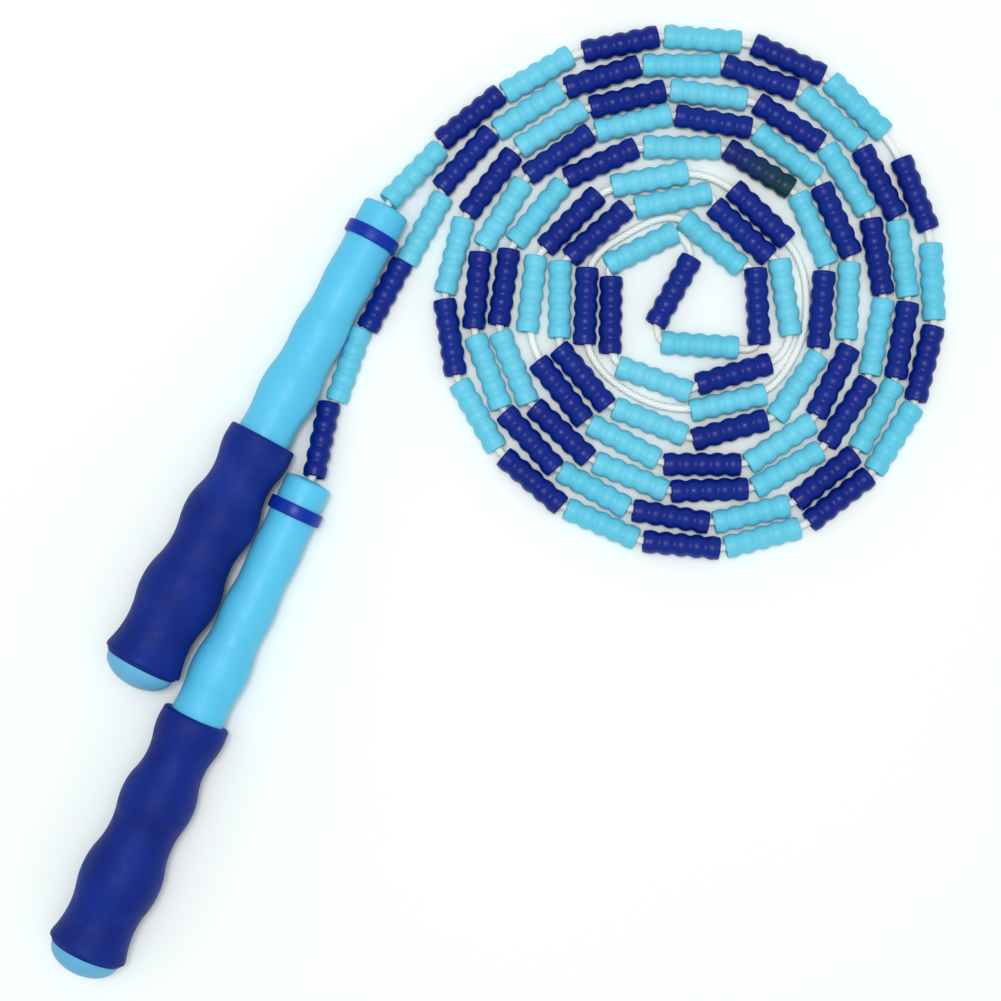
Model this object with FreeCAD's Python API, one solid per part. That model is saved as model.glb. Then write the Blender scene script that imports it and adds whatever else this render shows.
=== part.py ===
"""Beaded skipping rope lying on a table: two grips, one cord and 96 ribbed beads.

The cord is folded at its middle and both halves are wound together, clockwise and inward, into
a flat round coil.  X and Y lie in the table, Z points up, and the origin is on the table under
the middle of the two handles.  All sizes are millimetres.
"""
import FreeCAD, Part
import math
import os
from FreeCAD import Vector

# ---- cord and beads -------------------------------------------------------------------------
CORD_DIAMETER = 2.4
BEAD_LENGTH = 25.0
BEAD_RADIUS = 3.9            # at a rib
RIB_COUNT = 5
RIB_DEPTH = 0.42
RIB_SHARE = 0.7              # part of each half wave that belongs to the rib, not the groove
BEAD_BORE_RADIUS = 2.3
BEAD_EDGE = 0.5              # rounding of the bead's end faces
MOUTH_RADIUS, MOUTH_DEPTH = 3.0, 1.6   # the bore's flared mouths
MOUTH_INSET = 1.7            # how far inside a bead's mouth the cord bends
TURN_SHIFT = 3.5             # how much nearer the mouth that is for a square turn
BEAD_CLEARANCE = 0.15        # least space left between neighbouring beads

# ---- the coil -------------------------------------------------------------------------------
COIL_CENTRE = (145.26, 91.19)
TURN_PITCH = 17.44           # radius lost in one turn
OUT_OF_ROUND = ((2, 0.68, -28.0), (3, 1.28, 56.0))   # waves per turn, height, angle of a crest
SETTLING_ROUNDS = 80
NEIGHBOUR_REACH = 35.0       # beads with middles further apart than this never touch

# Each half: first angle, radius at angle 0, usual gap between beads, number of beads, and
# the wider gaps after the beads counted from its outer end.
FIRST_HALF = (111.3, 82.1, 1.17, 43, {1: 3.9, 3: 9.1, 4: 4.3, 8: 3.1, 12: 3.2, 19: 3.6})
SECOND_HALF = (118.9, 73.3, 0.91, 30, {8: 2.6, 20: 3.7, 26: 9.9, 28: 5.7})

# Beads laid by hand, from the coil's centre: x, y and heading in degrees.  A pair without a
# heading is a point on a bare stretch of cord.
FIRST_LEAD = ((-86.2, 41.6, 47), (-67.4, 59.4, 39), (-46.1, 73.5, 30))
SECOND_LEAD = ((-47.8, 62.4, -147), (-68.0, 46.2, -132), (-82.4, 25.3, -119),
               (-95.4, 3.65, -118), (-106.84, -19.04, -109), (-115.5, -42.1, -101))
MIDDLE = ((-4.9, 32.8, 12), (18.7, 24.5, -43), (33.3, 2.6, -81),
          (34.8, -12.9), (32.1, -17.1),
          (16.7, -23.3, -164), (-8.3, -24.2, 160), (-22.5, -4.7, 89), (-12.4, 18.1, 26),
          (0.5, 21.7), (2.8, 18.8),
          (-2.4, 3.9, -119), (-7.3, -9.8),
          (6.2, -13.6, -4), (22.1, -14.9),
          (23.9, 0.0, 93), (10.6, 19.9, 140),
          (-3.2, 28.5), (-9.6, 27.2), (-18.6, 22.4), (-26.4, 17.2),
          (-30.1, -1.2, -92),
          (-26.6, -21.0), (-18.4, -27.8), (-8.0, -33.0),
          (15.4, -32.2, 13),
          (34.2, -22.4), (40.6, -9.2), (41.2, 5.0), (38.6, 15.2),
          (25.7, 29.0, 136),
          (9.6, 41.6))
REST_HEIGHT = 1.35           # the cord's axis where it lies on the table
SAG = 0.65                   # how steeply it drops to there from a bead's mouth
LEAD_DROP = 0.6              # the outermost beads' raised mouths lie this much below the heads

# Beads are numbered from handle A.  Each section of the rope ends before the number given.
TEAL_BEAD = 37
SECTIONS = (("outer_a", 17), ("middle_a", 32), ("inner_a", 49), ("inner_b", 64),
            ("middle_b", 80), ("outer_b", 96))

# ---- handles: distances along the handle start at the tip of its end cap --------------------
HANDLE_LENGTH = 174.0
HANDLE_A = (9.66, 45.39, 61.86)     # the handle's middle, x and y, and its heading in degrees
HANDLE_B = (-11.53, -44.42, 64.73)
CORE_RADIUS = 7.9            # under the grip
HANDLE_BORE = 5.8
GRIP_BORE = 8.0
GRIP_START, GRIP_END = 7.0, 89.8
GRIP_EDGE = 0.9              # rounding of the grip's two ends
GRIP_START_RADIUS, GRIP_END_RADIUS = 12.1, 11.25
LIP = (8.7, 13.0)            # (distance, radius) of the rim at the grip's lower end
LIP_SHARE = 0.15             # part of the fall from the rim that is the rim's own curve
GRIP_WAVES = ((19.5, 11.35), (33.0, 13.1), (48.5, 10.75), (60.5, 12.15), (73.8, 9.9),
              (85.5, 11.45))
TUBE_WAVES = ((95.5, 8.6), (106.3, 9.45), (119.2, 8.1), (127.2, 8.5), (138.0, 7.7),
              (147.8, 8.1), (156.5, 7.75))
SHOULDER_RADIUS = 8.85       # beside the grip
TUBE_END, TUBE_END_RADIUS = 160.7, 7.85
COLLAR_END, COLLAR_RADIUS, COLLAR_EDGE = 165.0, 9.0, 0.5
HEAD_RADIUS, HEAD_EDGE, HEAD_CROWN = 7.7, 1.1, 0.7
CAP_RADIUS, CAP_WALL, PLUG_RADIUS, PLUG_BORE, PLUG_END = 11.4, 1.5, 5.7, 4.3, 18.0
SPIGOT_START, SPIGOT_RADIUS, SPIGOT_BORE, SPIGOT_END = 151.0, 5.7, 4.4, 168.0
CORD_HOLE_RADIUS = 1.6
HOLE_INSET = 1.0             # how far inside the head's hole the cord starts to bend
KNOT_RADIUS, KNOT_LENGTH, KNOT_EDGE = 3.4, 6.4, 1.6
FACE_GAP = 0.05              # between pieces of one handle that meet end to end
REST_GAP = 0.04              # under the handles' lowest waves


# ---- the coil's beads -----------------------------------------------------------------------

def coil_radius(outer, angle):
    """Radius of a half's centre line at an angle in degrees; the angle falls as it winds in."""
    wave = sum(height * math.cos(math.radians(count * (angle - crest)))
               for count, height, crest in OUT_OF_ROUND)
    return outer + TURN_PITCH * angle / 360.0 + wave


def coil_point(outer, angle):
    radius = coil_radius(outer, angle)
    turn = math.radians(angle)
    return radius * math.cos(turn), radius * math.sin(turn)


def angle_after(outer, angle, chord):
    """The angle one straight chord further in along the coil."""
    start = coil_point(outer, angle)
    step = math.degrees(chord / coil_radius(outer, angle))
    for _ in range(6):
        step *= chord / math.dist(start, coil_point(outer, angle - step))
    return angle - step


def wound_beads(half):
    """Beads threaded along one half of the coil, from its outer end inward."""
    angle, outer, usual_gap, count, wide_gaps = half
    beads = []
    for index in range(count):
        end_angle = angle_after(outer, angle, BEAD_LENGTH)
        start, end = coil_point(outer, angle), coil_point(outer, end_angle)
        heading = math.degrees(math.atan2(end[1] - start[1], end[0] - start[0]))
        beads.append(((start[0] + end[0]) / 2, (start[1] + end[1]) / 2, heading))
        angle = angle_after(outer, end_angle, wide_gaps.get(index, usual_gap))
    return beads


def reversed_beads(beads):
    return [(x, y, heading + 180.0) for x, y, heading in reversed(beads)]


def push_apart(first, second):
    """The shortest move that parts two beads seen from above, or None if they are clear."""
    dx, dy = second[0] - first[0], second[1] - first[1]
    half_length = (BEAD_LENGTH + BEAD_CLEARANCE) / 2
    half_width = BEAD_RADIUS + BEAD_CLEARANCE / 2
    shortest = None
    for direction in (first[2], first[2] + 90, second[2], second[2] + 90):
        turn = math.radians(direction)
        ux, uy = math.cos(turn), math.sin(turn)
        reach = sum(abs(math.cos(math.radians(bead[2] - direction))) * half_length
                    + abs(math.sin(math.radians(bead[2] - direction))) * half_width
                    for bead in (first, second))
        offset = dx * ux + dy * uy
        depth = reach - abs(offset)
        if depth <= 0:
            return None
        if shortest is None or depth < shortest[0]:
            side = math.copysign(1.0, offset)
            shortest = (depth, ux * side, uy * side)
    return shortest


def settled(stations):
    """Beads that press into each other are moved apart, each by half, until all are clear."""
    stations = [list(station) for station in stations]
    beads = [station for station in stations if len(station) == 3]
    pairs = [(a, b) for i, a in enumerate(beads) for b in beads[i + 1:]
             if math.dist(a[:2], b[:2]) < NEIGHBOUR_REACH]
    for _ in range(SETTLING_ROUNDS):
        for first, second in pairs:
            push = push_apart(first, second)
            if push:
                for bead, share in ((first, -0.5), (second, 0.5)):
                    bead[0] += share * push[0] * push[1]
                    bead[1] += share * push[0] * push[2]
    return stations


def rope_stations():
    """Every bead and bare point of the rope, from handle A to handle B, in table coordinates."""
    stations = settled(list(FIRST_LEAD) + wound_beads(FIRST_HALF) + list(MIDDLE)
                       + reversed_beads(wound_beads(SECOND_HALF)) + list(SECOND_LEAD))
    return [[s[0] + COIL_CENTRE[0], s[1] + COIL_CENTRE[1]] + s[2:] for s in stations]


# ---- handle frames --------------------------------------------------------------------------

def resting_dip():
    """How far a handle leans: it rests on its fattest wave and on the grip's upper end."""
    (fat_at, fat), (end_at, end) = GRIP_WAVES[1], GRIP_WAVES[5]
    return math.asin((fat - end) / (end_at - fat_at))


def handle_point(handle, distance):
    """Point on a handle's axis at a distance from the tip of its end cap."""
    x, y, heading = handle
    dip = resting_dip()
    along = (distance - HANDLE_LENGTH / 2) * math.cos(dip)
    turn = math.radians(heading)
    fat_at, fat = GRIP_WAVES[1]
    height = REST_GAP + fat * math.cos(dip) - (distance - fat_at) * math.sin(dip)
    return Vector(x + along * math.cos(turn), y + along * math.sin(turn), height)


def handle_axis(handle):
    return (handle_point(handle, HANDLE_LENGTH) - handle_point(handle, 0)).normalize()


# ---- shape helpers --------------------------------------------------------------------------

def line(start, end):
    return Part.LineSegment(Vector(*start), Vector(*end)).toShape()


def arc(start, middle, end):
    return Part.Arc(Vector(*start), Vector(*middle), Vector(*end)).toShape()


def wave_edges(start, end, split=0.5):
    """Two tangent arcs in the XY plane from one level stretch at start to another at end."""
    run, rise = end[0] - start[0], end[1] - start[1]
    turn = 2 * math.atan(abs(rise) / run)
    sign = math.copysign(1.0, rise)

    def bend(origin, length, direction):
        radius = length / math.sin(turn)
        points = []
        for share in (0.5, 1.0):
            points.append((origin[0] + direction * radius * math.sin(share * turn),
                           origin[1] + direction * sign * radius * (1 - math.cos(share * turn))))
        return points

    middle_1, joint = bend(start, split * run, 1)
    middle_2, _ = bend(end, (1 - split) * run, -1)
    flat = [(p[0], p[1], 0) for p in (start, middle_1, joint, middle_2, end)]
    return [arc(flat[0], flat[1], flat[2]), arc(flat[2], flat[3], flat[4])]


def rounded_corner(corner, before, after, radius):
    """Quarter arc at a square corner; before and after are unit steps away from the corner."""
    start = (corner[0] + before[0] * radius, corner[1] + before[1] * radius, 0)
    end = (corner[0] + after[0] * radius, corner[1] + after[1] * radius, 0)
    inset = radius * (1 - math.sqrt(0.5))
    middle = (corner[0] + (before[0] + after[0]) * inset,
              corner[1] + (before[1] + after[1]) * inset, 0)
    return arc(start, middle, end)


def joined(edges):
    """The edges with straight lines put in wherever one ends away from the next one's start."""
    path = []
    for edge, following in zip(edges, edges[1:] + edges[:1]):
        path.append(edge)
        end, start = edge.lastVertex(True).Point, following.firstVertex(True).Point
        if end.distanceToPoint(start) > 1e-6:
            path.append(Part.LineSegment(end, start).toShape())
    return path


def turned(edges):
    """Solid of revolution about X from profile edges in order; gaps between them are bridged."""
    face = Part.Face(Part.Wire(joined(edges)))
    return face.revolve(Vector(0, 0, 0), Vector(1, 0, 0), 360)


def along_axis(shape, origin, direction):
    """A copy of a shape made along +X, moved so that X = 0 sits at origin."""
    placed = shape.copy()
    rotation = FreeCAD.Rotation(Vector(1, 0, 0), direction)
    placed.Placement = FreeCAD.Placement(origin, rotation)
    return placed


# ---- bead -----------------------------------------------------------------------------------

def bead_solid():
    """One bead along +X from its first mouth: five ribs with narrower grooves between them."""
    pitch = BEAD_LENGTH / RIB_COUNT
    groove = BEAD_RADIUS - RIB_DEPTH
    end_radius = BEAD_RADIUS - RIB_DEPTH / 3
    edges = [line((MOUTH_DEPTH, BEAD_BORE_RADIUS, 0), (0, MOUTH_RADIUS, 0)),
             line((0, MOUTH_RADIUS, 0), (0, end_radius - BEAD_EDGE, 0)),
             rounded_corner((0, end_radius), (0, -1), (1, 0), BEAD_EDGE)]
    edges += wave_edges((BEAD_EDGE, end_radius), (pitch / 2, BEAD_RADIUS))
    for index in range(RIB_COUNT - 1):
        crest = (index + 0.5) * pitch
        dip = crest + pitch / 2
        edges += wave_edges((crest, BEAD_RADIUS), (dip, groove), RIB_SHARE)
        edges += wave_edges((dip, groove), (dip + pitch / 2, BEAD_RADIUS), 1 - RIB_SHARE)
    edges += wave_edges((BEAD_LENGTH - pitch / 2, BEAD_RADIUS), (BEAD_LENGTH - BEAD_EDGE, end_radius))
    edges += [rounded_corner((BEAD_LENGTH, end_radius), (-1, 0), (0, -1), BEAD_EDGE),
              line((BEAD_LENGTH, end_radius - BEAD_EDGE, 0), (BEAD_LENGTH, MOUTH_RADIUS, 0)),
              line((BEAD_LENGTH, MOUTH_RADIUS, 0),
                   (BEAD_LENGTH - MOUTH_DEPTH, BEAD_BORE_RADIUS, 0))]
    return turned(edges)


def bead_ends(station, first_height, last_height):
    """A bead's two mouths."""
    x, y, heading = station
    lean = math.asin((last_height - first_height) / BEAD_LENGTH)
    half = BEAD_LENGTH / 2 * math.cos(lean)
    turn = math.radians(heading)
    step = Vector(half * math.cos(turn), half * math.sin(turn), 0)
    middle = Vector(x, y, 0)
    return middle - step + Vector(0, 0, first_height), middle + step + Vector(0, 0, last_height)


def rope_beads(stations):
    """The mouths of all beads in order; the outermost two lean up to the handles' heads."""
    beads = [s for s in stations if len(s) == 3]
    lifted = handle_point(HANDLE_A, HANDLE_LENGTH).z - LEAD_DROP
    ends = []
    for index, station in enumerate(beads):
        first = lifted if index == 0 else BEAD_RADIUS
        last = lifted if index == len(beads) - 1 else BEAD_RADIUS
        ends.append(bead_ends(station, first, last))
    return ends


# ---- cord -----------------------------------------------------------------------------------

def cord_route(stations, ends):
    """The cord's points: inside each handle, at each bead's two mouths, and where it is bare."""
    held = (SPIGOT_END - FACE_GAP, HANDLE_LENGTH - HOLE_INSET)
    points = [(handle_point(HANDLE_A, distance), None) for distance in held]
    passed = 0
    for station in stations:
        if len(station) == 3:
            first, last = ends[passed]
            inset = (last - first).normalize() * MOUTH_INSET
            points += [(first + inset, first), (last - inset, last)]
            passed += 1
        else:
            free = min(math.dist(station, (mouth.x, mouth.y))
                       for mouth in (ends[passed - 1][1], ends[passed][0]))
            points.append((Vector(*station, max(REST_HEIGHT, BEAD_RADIUS - SAG * free)), None))
    points += [(handle_point(HANDLE_B, distance), None) for distance in reversed(held)]
    bends = [nearer_mouth(*trio) for trio in zip(points, points[1:], points[2:])]
    return [points[0][0]] + bends + [points[-1][0]]


def nearer_mouth(before, here, after):
    """A point inside a bead, moved out toward the mouth by as much as the cord turns there."""
    point, mouth = here
    if mouth is None:
        return point
    turn = (point - before[0]).getAngle(after[0] - point)
    inset = MOUTH_INSET - TURN_SHIFT * (1 - math.cos(turn))
    return mouth + (point - mouth) * (inset / MOUTH_INSET)


def cord_path(route):
    """Straight runs joined by tangent arcs, each as large as its two runs allow."""
    edges, radii, here = [], [], route[0]
    for before, corner, after in zip(route, route[1:], route[2:]):
        inward, outward = (before - corner), (after - corner)
        shorter = min(inward.Length, outward.Length)
        half_turn = (math.pi - inward.getAngle(outward)) / 2
        reach = 0.45 * shorter
        radius = reach / math.tan(half_turn)
        inward.normalize()
        outward.normalize()
        start, end = corner + inward * reach, corner + outward * reach
        bisector = (inward + outward).normalize()
        middle = corner + bisector * (radius / math.cos(half_turn) - radius)
        edges += [Part.LineSegment(here, start).toShape(), Part.Arc(start, middle, end).toShape()]
        radii.append(radius)
        here = end
    edges.append(Part.LineSegment(here, route[-1]).toShape())
    return Part.Wire(edges), radii


def cord_solid(route):
    path, radii = cord_path(route)
    direction = (route[1] - route[0]).normalize()
    section = Part.Wire(Part.makeCircle(CORD_DIAMETER / 2, route[0], direction))
    tube = path.makePipeShell([section], True, False)
    expected = math.pi * (CORD_DIAMETER / 2) ** 2 * path.Length
    print("cord length %.0f, volume %.1f of %.1f" % (path.Length, tube.Volume, expected))
    print("smallest bend radii", " ".join("%.1f" % radius for radius in sorted(radii)[:12]))
    return tube


# ---- handle pieces, each turned about +X from the tip of the end cap ------------------------

def wave_chain(stations):
    edges = []
    for start, end in zip(stations, stations[1:]):
        edges += wave_edges(start, end)
    return edges


def grip_sleeve():
    edges = [line((GRIP_START, GRIP_BORE, 0), (GRIP_START, GRIP_START_RADIUS - GRIP_EDGE, 0)),
             rounded_corner((GRIP_START, GRIP_START_RADIUS), (0, -1), (1, 0), GRIP_EDGE)]
    edges += wave_edges((GRIP_START + GRIP_EDGE, GRIP_START_RADIUS), LIP)
    edges += wave_edges(LIP, GRIP_WAVES[0], LIP_SHARE)
    edges += wave_chain(GRIP_WAVES)
    edges += wave_edges(GRIP_WAVES[-1], (GRIP_END - GRIP_EDGE, GRIP_END_RADIUS))
    edges += [rounded_corner((GRIP_END, GRIP_END_RADIUS), (-1, 0), (0, -1), GRIP_EDGE),
              line((GRIP_END, GRIP_END_RADIUS - GRIP_EDGE, 0), (GRIP_END, GRIP_BORE, 0))]
    return turned(edges)


def handle_tube():
    shoulder = GRIP_END + FACE_GAP
    rim = GRIP_START + FACE_GAP
    edges = [line((rim, HANDLE_BORE, 0), (rim, CORE_RADIUS, 0)),
             line((rim, CORE_RADIUS, 0), (shoulder, CORE_RADIUS, 0)),
             line((shoulder, CORE_RADIUS, 0), (shoulder, SHOULDER_RADIUS, 0))]
    edges += wave_chain(((shoulder, SHOULDER_RADIUS),) + TUBE_WAVES + ((TUBE_END, TUBE_END_RADIUS),))
    edges += [line((TUBE_END, TUBE_END_RADIUS, 0), (TUBE_END, HANDLE_BORE, 0))]
    return turned(edges)


def end_cap():
    """Domed cap: half an ellipse of revolution, with a hollow plug that slides into the tube."""
    depth = GRIP_START - FACE_GAP
    wall_end = depth - CAP_WALL
    edges = [arc((0, 0, 0), dome_point(depth, 22), dome_point(depth, 45)),
             arc(dome_point(depth, 45), dome_point(depth, 68), (depth, CAP_RADIUS, 0)),
             line((depth, CAP_RADIUS, 0), (depth, PLUG_RADIUS, 0)),
             line((depth, PLUG_RADIUS, 0), (PLUG_END, PLUG_RADIUS, 0)),
             line((PLUG_END, PLUG_RADIUS, 0), (PLUG_END, PLUG_BORE, 0)),
             line((PLUG_END, PLUG_BORE, 0), (wall_end, PLUG_BORE, 0)),
             line((wall_end, PLUG_BORE, 0), (wall_end, 0, 0))]
    return turned(edges)


def dome_point(depth, degrees):
    turn = math.radians(degrees)
    return depth * (1 - math.cos(turn)), CAP_RADIUS * math.sin(turn), 0


def collar_ring():
    start, end = TUBE_END + FACE_GAP, COLLAR_END
    bore = SPIGOT_RADIUS + FACE_GAP
    return turned([line((start, bore, 0), (start, COLLAR_RADIUS - COLLAR_EDGE, 0)),
                   rounded_corner((start, COLLAR_RADIUS), (0, -1), (1, 0), COLLAR_EDGE),
                   rounded_corner((end, COLLAR_RADIUS), (-1, 0), (0, -1), COLLAR_EDGE),
                   line((end, COLLAR_RADIUS - COLLAR_EDGE, 0), (end, bore, 0))])


def head_cap():
    """Head of the handle: a spigot inside the tube, a pocket for the knot and a cord hole."""
    start = COLLAR_END + FACE_GAP
    rim = HANDLE_LENGTH - HEAD_CROWN
    crown_middle = (HANDLE_LENGTH - HEAD_CROWN / 3, (HEAD_RADIUS - HEAD_EDGE) * 0.62, 0)
    return turned([line((SPIGOT_START, SPIGOT_BORE, 0), (SPIGOT_START, SPIGOT_RADIUS, 0)),
                   line((start, SPIGOT_RADIUS, 0), (start, HEAD_RADIUS, 0)),
                   rounded_corner((rim, HEAD_RADIUS), (-1, 0), (0, -1), HEAD_EDGE),
                   arc((rim, HEAD_RADIUS - HEAD_EDGE, 0), crown_middle,
                       (HANDLE_LENGTH, CORD_HOLE_RADIUS, 0)),
                   line((HANDLE_LENGTH, CORD_HOLE_RADIUS, 0), (SPIGOT_END, CORD_HOLE_RADIUS, 0)),
                   line((SPIGOT_END, CORD_HOLE_RADIUS, 0), (SPIGOT_END, SPIGOT_BORE, 0))])


def end_knot():
    """The cord's knotted end, as one plump barrel that can't pass the cord hole."""
    end = SPIGOT_END - FACE_GAP
    start = end - KNOT_LENGTH
    return turned([line((start, 0, 0), (start, KNOT_RADIUS - KNOT_EDGE, 0)),
                   rounded_corner((start, KNOT_RADIUS), (0, -1), (1, 0), KNOT_EDGE),
                   rounded_corner((end, KNOT_RADIUS), (-1, 0), (0, -1), KNOT_EDGE),
                   line((end, KNOT_RADIUS - KNOT_EDGE, 0), (end, 0, 0))])


# ---- assembly -------------------------------------------------------------------------------

def bead_groups(ends):
    """Node name to bead numbers: the loose lead beads singly, the rest by half, turn and tint."""
    last = len(ends) - 1
    groups = {"lead_bead_a1": [0], "lead_bead_a2": [1], "lead_bead_b1": [last],
              "lead_bead_b2": [last - 1], "teal_bead": [TEAL_BEAD]}
    singles = {number for numbers in groups.values() for number in numbers}
    for number in range(len(ends)):
        if number not in singles:
            tint = "dark" if number % 2 else "light"
            groups.setdefault("%s_beads_%s" % (tint, section_of(number)), []).append(number)
    return groups


def section_of(number):
    return next(name for name, end in SECTIONS if number < end)


def main():
    stations = rope_stations()
    ends = rope_beads(stations)
    nodes = {"cord": cord_solid(cord_route(stations, ends))}
    bead = bead_solid()
    for name, numbers in bead_groups(ends).items():
        solids = [along_axis(bead, ends[n][0], ends[n][1] - ends[n][0]) for n in numbers]
        nodes[name] = solids[0] if len(solids) == 1 else Part.makeCompound(solids)
    pieces = {"handle_tube": handle_tube(), "grip_sleeve": grip_sleeve(), "end_cap": end_cap(),
              "collar_ring": collar_ring(), "head_cap": head_cap(), "end_knot": end_knot()}
    for side, handle in (("a", HANDLE_A), ("b", HANDLE_B)):
        for name, piece in pieces.items():
            nodes[name + "_" + side] = along_axis(piece, handle_point(handle, 0),
                                                  handle_axis(handle))
    os.makedirs("parts", exist_ok=True)
    for name, shape in nodes.items():
        shape.exportStep("parts/" + name + ".step")
    print(len(nodes), "nodes,", sum(len(shape.Solids) for shape in nodes.values()), "solids")


main()
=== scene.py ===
import math
import random

import bpy
import numpy as np
from mathutils import Matrix, Vector


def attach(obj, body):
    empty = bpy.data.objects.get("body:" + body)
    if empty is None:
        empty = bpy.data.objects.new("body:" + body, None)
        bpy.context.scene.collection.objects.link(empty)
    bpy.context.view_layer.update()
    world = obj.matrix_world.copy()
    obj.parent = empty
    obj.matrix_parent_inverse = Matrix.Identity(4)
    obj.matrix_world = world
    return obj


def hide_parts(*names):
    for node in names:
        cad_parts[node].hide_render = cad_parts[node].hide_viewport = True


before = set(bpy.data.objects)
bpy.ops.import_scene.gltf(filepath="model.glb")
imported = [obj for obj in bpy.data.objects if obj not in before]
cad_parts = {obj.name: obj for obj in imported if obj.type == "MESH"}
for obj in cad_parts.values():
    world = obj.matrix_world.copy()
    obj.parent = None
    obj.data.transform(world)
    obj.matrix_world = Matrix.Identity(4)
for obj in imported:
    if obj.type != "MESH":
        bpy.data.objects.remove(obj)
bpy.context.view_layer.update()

# A beaded skipping rope on a table: two wavy handles and a flat coil of ribbed beads on a white
# braided cord.  Lengths in the tables below are millimetres, unless a comment says metres, and
# are scaled by MM where geometry is built, so that every object is in metres in the frame.
MM = 0.001

# ---- cord and beads -------------------------------------------------------------------------
CORD_DIAMETER = 2.4
BEAD_LENGTH = 25.0
BEAD_RADIUS = 3.9            # at a rib
RIB_COUNT = 5
RIB_DEPTH = 0.58
RIB_SHARE = 0.7              # part of each half wave that belongs to the rib, not the groove
BEAD_BORE_RADIUS = 2.3
BEAD_EDGE = 0.65             # rounding of the bead's end faces
MOUTH_RADIUS, MOUTH_DEPTH = 3.0, 1.6
MOUTH_INSET = 1.7            # how far inside a bead's mouth the cord bends
TURN_SHIFT = 3.5             # how much nearer the mouth that is for a square turn
BEAD_CLEARANCE = 0.15        # least space left between neighbouring beads

# ---- the coil -------------------------------------------------------------------------------
# The turns' shape, first angles and usual gaps come from a least-squares fit to the beads'
# measured places, and the wider gaps are measured ones.
COIL_CENTRE = (145.26, 91.19)
TURN_PITCH = 17.44           # radius lost in one turn
OUT_OF_ROUND = ((2, 0.68, -28.0), (3, 1.28, 56.0))   # waves per turn, height, angle of a crest
SETTLING_ROUNDS = 80
NEIGHBOUR_REACH = 35.0       # beads with middles further apart than this never touch

# Each half: first angle, radius at angle 0, usual gap between beads, number of beads, and
# the wider gaps after the beads counted from its outer end.
FIRST_HALF = (111.3, 82.1, 1.17, 43, {1: 3.9, 3: 9.1, 4: 4.3, 8: 3.1, 12: 3.2, 19: 3.6})
SECOND_HALF = (118.9, 73.3, 0.91, 30, {8: 2.6, 20: 3.7, 26: 9.9, 28: 5.7})

# Beads placed one by one, from the coil's centre: x, y and heading in degrees.  Most are at
# their measured places, and some were moved to clear their neighbours.  A pair without
# a heading is a point on a bare stretch of cord.
FIRST_LEAD = ((-86.2, 41.6, 47), (-67.4, 59.4, 39), (-46.1, 73.5, 30))
SECOND_LEAD = ((-47.8, 62.4, -147), (-68.0, 46.2, -132), (-82.4, 25.3, -119),
               (-95.4, 3.65, -118), (-106.84, -19.04, -109), (-115.5, -42.1, -101))
MIDDLE = ((-4.9, 32.8, 12), (18.7, 24.5, -43), (33.3, 2.6, -81),
          (34.8, -12.9), (32.1, -17.1),
          (16.7, -23.3, -164), (-8.3, -24.2, 160), (-22.5, -4.7, 89), (-12.4, 18.1, 26),
          (0.5, 21.7), (2.8, 18.8),
          (-2.4, 3.9, -119), (-7.3, -9.8),
          (6.2, -13.6, -4), (22.1, -14.9),
          (23.9, 0.0, 93), (10.6, 19.9, 140),
          (-3.2, 28.5), (-9.6, 27.2), (-18.6, 22.4), (-26.4, 17.2),
          (-30.1, -1.2, -92),
          (-26.6, -21.0), (-18.4, -27.8), (-8.0, -33.0),
          (15.4, -32.2, 13),
          (34.2, -22.4), (40.6, -9.2), (41.2, 5.0), (38.6, 15.2),
          (25.7, 29.0, 136),
          (9.6, 41.6))
REST_HEIGHT = 1.35           # the cord's axis where it lies on the table
SAG = 0.65                   # how steeply it drops to there from a bead's mouth
LEAD_DROP = 0.6              # the outermost beads' raised mouths lie this much below the heads

# Beads are numbered from handle A.  Each section of the rope ends before the number given.
TEAL_BEAD = 37
SECTIONS = (("outer_a", 17), ("middle_a", 32), ("inner_a", 49), ("inner_b", 64),
            ("middle_b", 80), ("outer_b", 96))

# ---- handles: distances along the handle start at the tip of its end cap --------------------
HANDLE_LENGTH = 174.0
HANDLE_A = (9.66, 45.39, 61.86)     # the handle's middle, x and y, and its heading in degrees
HANDLE_B = (-11.53, -44.42, 64.73)
CORE_RADIUS = 7.9            # under the grip
HANDLE_BORE = 5.8
GRIP_BORE = 8.0
GRIP_START, GRIP_END = 7.0, 89.8
GRIP_EDGE = 0.9              # rounding of the grip's two ends
GRIP_START_RADIUS, GRIP_END_RADIUS = 12.1, 11.25
LIP = (8.7, 13.0)            # (distance, radius) of the rim at the grip's lower end
LIP_SHARE = 0.15             # part of the fall from the rim that is the rim's own curve
GRIP_WAVES = ((19.5, 11.35), (33.0, 13.1), (48.5, 10.75), (60.5, 12.15), (73.8, 9.9),
              (85.5, 11.45))
TUBE_WAVES = ((95.5, 8.6), (106.3, 9.45), (119.2, 8.1), (127.2, 8.5), (138.0, 7.7),
              (147.8, 8.1), (156.5, 7.75))
SHOULDER_RADIUS = 8.85       # beside the grip
TUBE_END, TUBE_END_RADIUS = 160.7, 7.85
COLLAR_END, COLLAR_RADIUS, COLLAR_EDGE = 165.0, 9.0, 0.5
HEAD_RADIUS, HEAD_EDGE, HEAD_CROWN = 7.7, 1.1, 0.7
CAP_RADIUS, CAP_WALL, PLUG_RADIUS, PLUG_BORE, PLUG_END = 11.4, 1.5, 5.7, 4.3, 18.0
SPIGOT_START, SPIGOT_RADIUS, SPIGOT_BORE, SPIGOT_END = 151.0, 5.7, 4.4, 168.0
CORD_HOLE_RADIUS = 1.6
HOLE_EDGE = 0.3              # chamfer of the cord hole
HOLE_INSET = 1.0             # how far inside the head's hole the cord starts to bend
FACE_GAP = 0.05              # between pieces of one handle that meet end to end
REST_GAP = 0.04              # under the handles' lowest waves

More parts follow.
